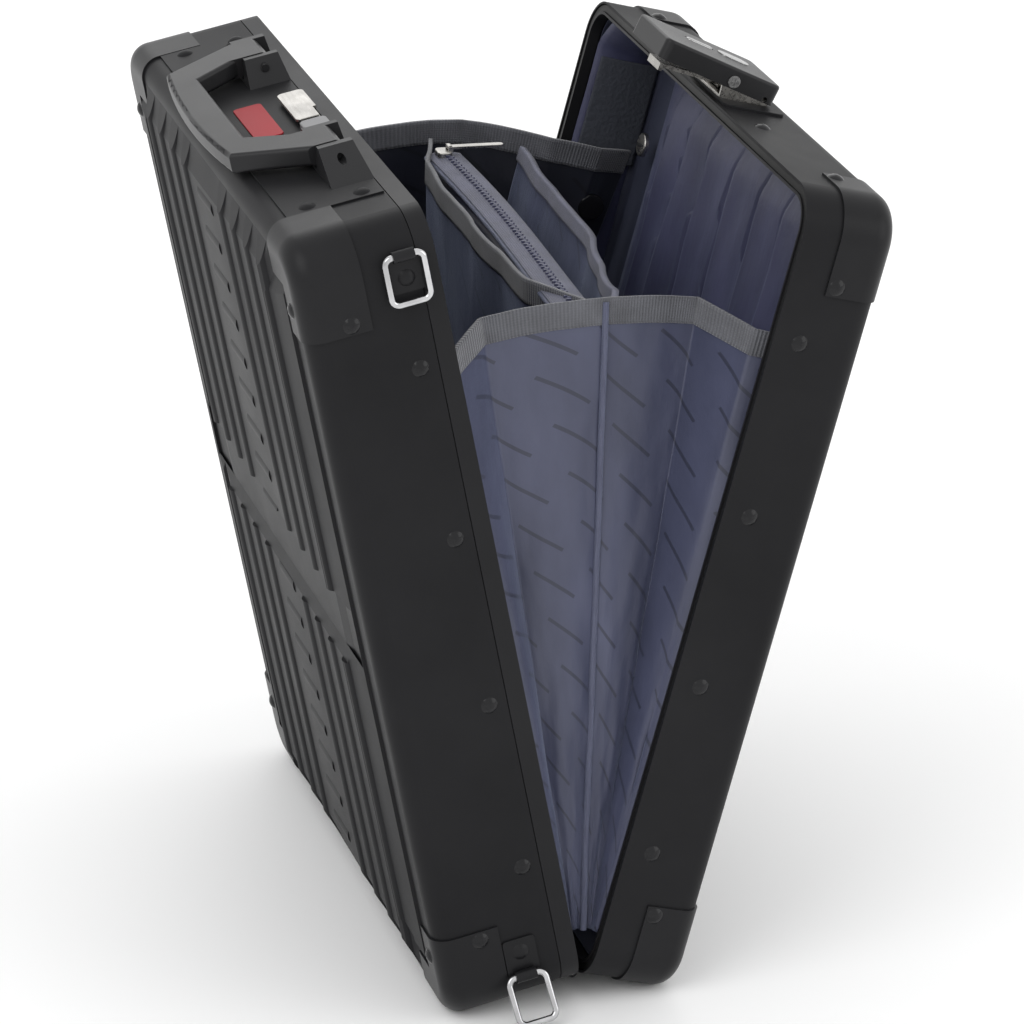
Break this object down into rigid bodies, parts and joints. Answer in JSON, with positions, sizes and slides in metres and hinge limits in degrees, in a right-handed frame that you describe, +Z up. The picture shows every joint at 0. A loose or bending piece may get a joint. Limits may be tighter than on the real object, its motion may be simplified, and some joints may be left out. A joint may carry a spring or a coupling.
{
  "type": "attache case",
  "caption": "Hard-shell briefcase of two ribbed metal halves, standing open in a V, with a fold-down handle, a top latch, strap loops and a lined inside with gussets and a zipped divider.",
  "frame": {"origin": "on the floor under the middle of the box round the open case", "axes": "+Y runs along the hinge, +Z runs up from the floor, and +X runs from the base half to the lid"},
  "size_m": [0.316, 0.3974, 0.4612],
  "materials": {
    "satin_black_panel": "satin black coating over aluminium",
    "satin_black_cap": "satin black coating over aluminium",
    "dark_rivet": "black coated rivet heads with a soft gleam",
    "black_frame": "black anodised extrusion",
    "steel_pin": "bright steel",
    "lining_cloth": "dark slate-blue cloth over board",
    "black_rubber": "matt black",
    "blue_satin": "slate-blue satin with a woven diagonal fleck",
    "bright_metal": "satin nickel",
    "black_moulding": "satin black moulding",
    "red_badge": "plain dark red plate",
    "grey_moulding": "matt grey",
    "black_cover": "satin black coating",
    "chrome_wire": "bright chrome"
  },
  "bodies": {
    "base": {"base_cap_far_low": "satin_black_cap", "base_cap_far_top": "satin_black_cap", "base_cap_near_low": "satin_black_cap", "base_cap_near_top": "satin_black_cap", "base_cap_rivets": "dark_rivet", "base_frame": "black_frame", "base_frame_rivets": "dark_rivet", "base_hinge_leaf": "black_frame", "base_hinge_rivets": "dark_rivet", "base_lining": "lining_cloth", "base_shell": "satin_black_panel", "gusset_far": "blue_satin", "gusset_near": "blue_satin", "handle_bracket_far": "black_moulding", "handle_bracket_near": "black_moulding", "handle_pins": "steel_pin", "handle_plate": "satin_black_panel", "handle_plate_rivets": "dark_rivet", "hinge_pin": "steel_pin", "locating_block": "grey_moulding", "name_plate": "red_badge", "ring_tab_far_low": "chrome_wire", "ring_tab_far_top": "chrome_wire", "ring_tab_near_low": "chrome_wire", "ring_tab_near_top": "chrome_wire", "ring_tab_rivets": "dark_rivet", "strike_plate": "bright_metal"},
    "lid": {"latch_frame": "bright_metal", "latch_pins": "steel_pin", "latch_plate": "bright_metal", "lid_cap_far_low": "satin_black_cap", "lid_cap_far_top": "satin_black_cap", "lid_cap_near_low": "satin_black_cap", "lid_cap_near_top": "satin_black_cap", "lid_cap_rivets": "dark_rivet", "lid_frame": "black_frame", "lid_frame_rivets": "dark_rivet", "lid_hinge_leaf": "black_frame", "lid_hinge_rivets": "dark_rivet", "lid_lining": "lining_cloth", "lid_pocket": "blue_satin", "lid_seal": "black_rubber", "lid_shell": "satin_black_panel", "pocket_snap": "bright_metal"},
    "divider": {"zip_pouch": "blue_satin", "divider_sheet_base": "blue_satin", "divider_sheet_lid": "blue_satin"},
    "slider": {"zip_slider": "bright_metal"},
    "pull": {"zip_pull": "bright_metal"},
    "handle": {"handle": "black_moulding"},
    "cover": {"latch_cover": "black_cover", "latch_medallion": "bright_metal"},
    "hook": {"latch_hook": "bright_metal"},
    "button": {"latch_button": "bright_metal"},
    "plug": {"key_plug": "bright_metal"},
    "loop_near_top": {"ring_near_top": "chrome_wire"},
    "loop_far_top": {"ring_far_top": "chrome_wire"},
    "loop_near_low": {"ring_near_low": "chrome_wire"},
    "loop_far_low": {"ring_far_low": "chrome_wire"}
  },
  "joints": [
    {"name": "lid_hinge", "type": "hinge", "parent": "base", "child": "lid", "pos_m": [-0.00545, 0, 0.00937], "axis": [0, 1, 0], "range_deg": [-26, 0], "deforming": ["gusset_near", "gusset_far"]},
    {"name": "divider_hinge", "type": "hinge", "parent": "base", "child": "divider", "pos_m": [-0.00545, 0, 0.00937], "axis": [0, 1, 0], "range_deg": [-13, 0]},
    {"name": "zip_slide", "type": "slide", "parent": "divider", "child": "slider", "axis": [0, 1, 0], "range_m": [-0.235, 0]},
    {"name": "zip_pull_turn", "type": "hinge", "parent": "slider", "child": "pull", "pos_m": [0.01464, 0.134, 0.36161], "axis": [0, 1, 0], "range_deg": [-165, 0]},
    {"name": "handle_turn", "type": "hinge", "parent": "base", "child": "handle", "pos_m": [-0.10483, 0, 0.44066], "axis": [0, 1, 0], "range_deg": [0, 100]},
    {"name": "latch_cover_turn", "type": "hinge", "parent": "lid", "child": "cover", "pos_m": [0.13952, 0, 0.42409], "axis": [0, 1, 0], "range_deg": [-12, 0]},
    {"name": "latch_hook_turn", "type": "hinge", "parent": "lid", "child": "hook", "pos_m": [0.1222, 0, 0.42897], "axis": [0, 1, 0], "range_deg": [-6, 0]},
    {"name": "button_press", "type": "slide", "parent": "cover", "child": "button", "axis": [0.4655, 0, 0.885], "range_m": [-0.0018, 0], "stiffness_N_per_m": 300, "springref_m": 0.001},
    {"name": "key_turn", "type": "hinge", "parent": "cover", "child": "plug", "pos_m": [0.12294, -0.025, 0.43552], "axis": [0, 1, 0], "range_deg": [0, 90]},
    {"name": "loop_near_top_swing", "type": "hinge", "parent": "base", "child": "loop_near_top", "pos_m": [-0.09658, -0.18658, 0.41756], "axis": [0.984, 0, 0.178], "range_deg": [-165, 0]},
    {"name": "loop_far_top_swing", "type": "hinge", "parent": "base", "child": "loop_far_top", "pos_m": [-0.09658, 0.18658, 0.41756], "axis": [0.984, 0, 0.178], "range_deg": [0, 165]},
    {"name": "loop_near_low_swing", "type": "hinge", "parent": "base", "child": "loop_near_low", "pos_m": [-0.03789, -0.18658, 0.02575], "axis": [0.984, 0, 0.178], "range_deg": [-130, 0]},
    {"name": "loop_far_low_swing", "type": "hinge", "parent": "base", "child": "loop_far_low", "pos_m": [-0.03789, 0.18658, 0.02575], "axis": [0.984, 0, 0.178], "range_deg": [0, 130]}
  ],
  "couplings": [
    {"joint": "divider_hinge", "follows": "lid_hinge", "ratio": 0.5},
    {"joint": "latch_hook_turn", "follows": "latch_cover_turn", "ratio": 0.5}
  ]
}
